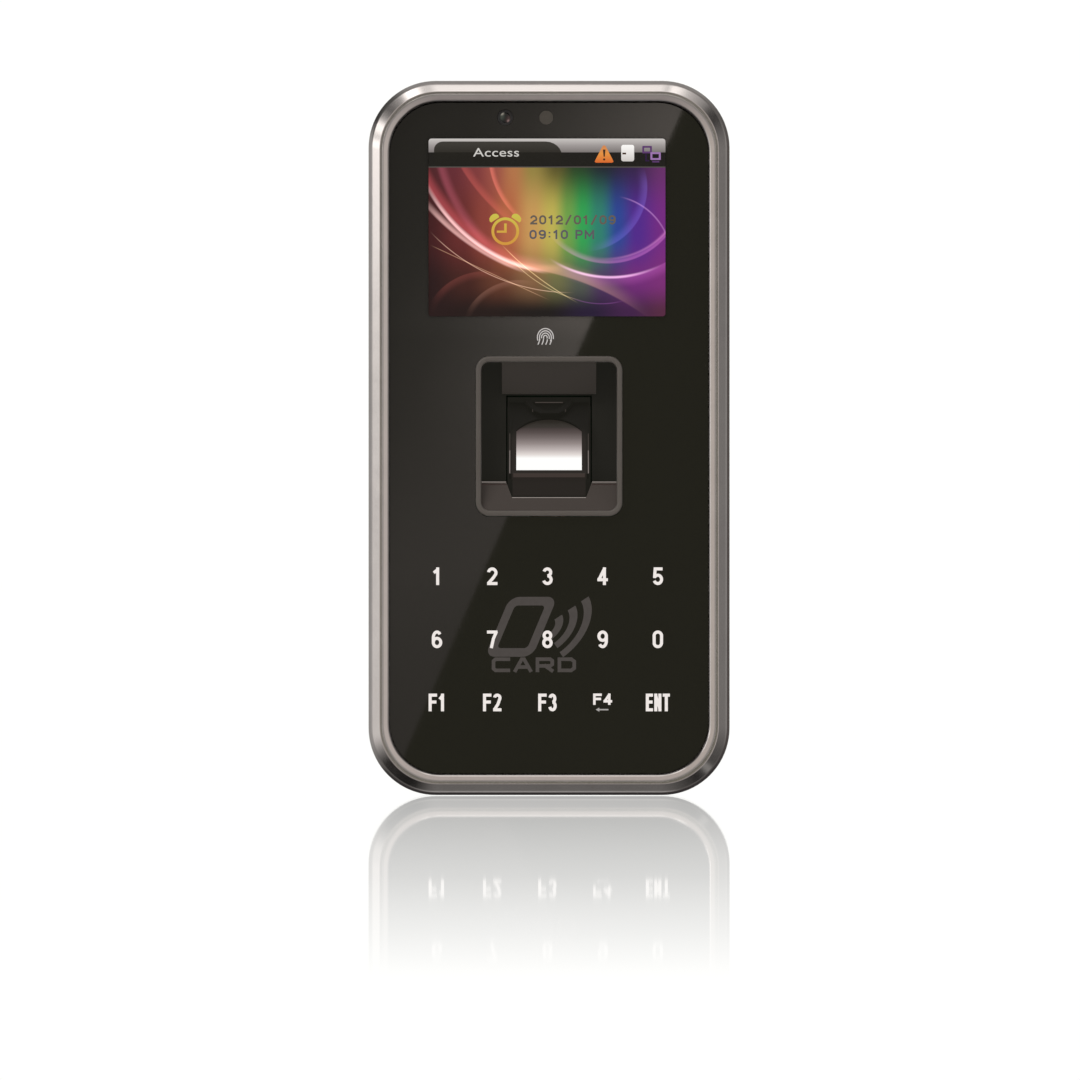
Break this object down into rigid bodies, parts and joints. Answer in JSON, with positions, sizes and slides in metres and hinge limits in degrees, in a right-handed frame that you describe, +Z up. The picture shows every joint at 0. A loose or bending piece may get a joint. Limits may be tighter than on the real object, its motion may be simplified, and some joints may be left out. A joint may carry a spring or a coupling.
{
  "type": "fingerprint access terminal",
  "caption": "Upright wall terminal with a colour screen, a tilted fingerprint reader in a square well, a backlit touch keypad with a card reader, a silver frame and a hook-on steel wall plate.",
  "frame": {"origin": "on the wall, at the centre of the case's width and height: the wall plate's back face is the plane Y = 0", "axes": "+Z up the wall, +X to the viewer's right, -Y out of the wall towards the viewer"},
  "size_m": [0.088, 0.0434, 0.174],
  "materials": {
    "plate_steel": "zinc plated, satin",
    "white_plastic": "nylon, natural",
    "screw_steel": "nickel plated",
    "insert_brass": "turned",
    "black_housing": "fine spark texture",
    "black_foam": "closed-cell foam",
    "silver_frame": "polished silver lacquer with crisp reflections",
    "adhesive_tape": "foam tape",
    "black_print": "opaque printed layer",
    "window_glass": "clear hard-coated acrylic, glossy",
    "screen_steel": "rolled sheet",
    "screen_light": "white reflector film",
    "screen_picture": "lit colour picture with a status bar",
    "flat_cable": "polyimide with copper tracks",
    "circuit_board": "green solder mask",
    "black_part": "moulded, fine grain",
    "lens_glass": "coated lens",
    "smoked_lamp": "smoked clear epoxy",
    "lamp_white": "lit white lamp",
    "diffuser_white": "milky light guide",
    "copper_track": "etched copper",
    "well_trim_plastic": "smooth, lightly polished",
    "well_plastic": "satin moulding",
    "platen_glass": "lit from below, milky glow fading upwards",
    "capacitor_sleeve": "shrink sleeve",
    "relay_case": "moulded blue case",
    "jack_shell": "tinned shell",
    "green_terminal": "moulded nylon",
    "spring_steel": "drawn wire",
    "speaker_body": "moulded basket and paper cone",
    "cover_rubber": "satin elastomer",
    "button_plastic": "fine texture"
  },
  "bodies": {
    "wall_bracket": {"wall_plate": "plate_steel"},
    "washer": {"lock_washer": "white_plastic"},
    "screw": {"lock_screw": "screw_steel"},
    "terminal": {"lock_insert": "insert_brass", "rear_housing": "black_housing", "housing_gasket": "black_foam", "case_screws": "screw_steel", "front_chassis": "black_housing", "front_bezel": "silver_frame", "window_tape": "adhesive_tape", "window_print": "black_print", "front_window": "window_glass", "screen_frame": "screen_steel", "screen_backlight": "screen_light", "screen_panel": "screen_picture", "screen_bracket": "screen_steel", "bracket_screws": "screw_steel", "screen_flex": "flat_cable", "camera_board": "circuit_board", "camera_body": "black_part", "camera_lens": "lens_glass", "infrared_lamp": "smoked_lamp", "touch_board": "circuit_board", "key_lamps": "lamp_white", "key_diffuser": "diffuser_white", "antenna_board": "circuit_board", "antenna_coil": "copper_track", "antenna_pads": "black_foam", "well_trim": "well_trim_plastic", "finger_well": "well_plastic", "sensor_cover": "well_plastic", "platen_seal": "black_foam", "platen_prism": "platen_glass", "sensor_body": "black_part", "sensor_lens": "lens_glass", "sensor_board": "circuit_board", "sensor_chip": "black_part", "platen_lamps": "lamp_white", "sensor_cable": "flat_cable", "main_board": "circuit_board", "board_screws": "screw_steel", "processor": "black_part", "memory_chips": "black_part", "radio_shield": "screen_steel", "power_parts": "capacitor_sleeve", "relay": "relay_case", "clock_battery": "screen_steel", "lan_jack": "jack_shell", "terminal_block": "green_terminal", "terminal_screws": "screw_steel", "tamper_switch": "black_part", "tamper_spring": "spring_steel", "speaker": "speaker_body", "speaker_gasket": "black_foam", "usb_socket": "jack_shell", "reset_switch": "black_part"},
    "tamper_key": {"tamper_plunger": "white_plastic"},
    "usb_flap": {"usb_cover": "cover_rubber"},
    "reset_key": {"reset_button": "button_plastic"}
  },
  "joints": [
    {"name": "terminal_lift", "type": "slide", "parent": "wall_bracket", "child": "terminal", "axis": [0, 0, 1], "range_m": [0, 0.005]},
    {"name": "lock_travel", "type": "slide", "parent": "wall_bracket", "child": "washer", "axis": [0, 0, -1], "range_m": [0, 0.004]},
    {"name": "lock_turn", "type": "hinge", "parent": "washer", "child": "screw", "pos_m": [0, -0.009, -0.0811], "axis": [0, 0, -1], "range_deg": [0, 2881]},
    {"name": "tamper_press", "type": "slide", "parent": "terminal", "child": "tamper_key", "axis": [0, -1, 0], "range_m": [0, 0.0012], "stiffness_N_per_m": 150, "springref_m": -0.0012, "deforming": ["tamper_spring"]},
    {"name": "usb_cover_open", "type": "hinge", "parent": "terminal", "child": "usb_flap", "pos_m": [0.0421, -0.024, -0.0306], "axis": [0, 1, 0], "range_deg": [0, 105]},
    {"name": "reset_press", "type": "slide", "parent": "terminal", "child": "reset_key", "axis": [0, 0, 1], "range_m": [0, 0.0004], "stiffness_N_per_m": 800, "springref_m": -0.0004}
  ],
  "couplings": [
    {"joint": "lock_turn", "follows": "lock_travel", "rad_per_m": 12566}
  ]
}
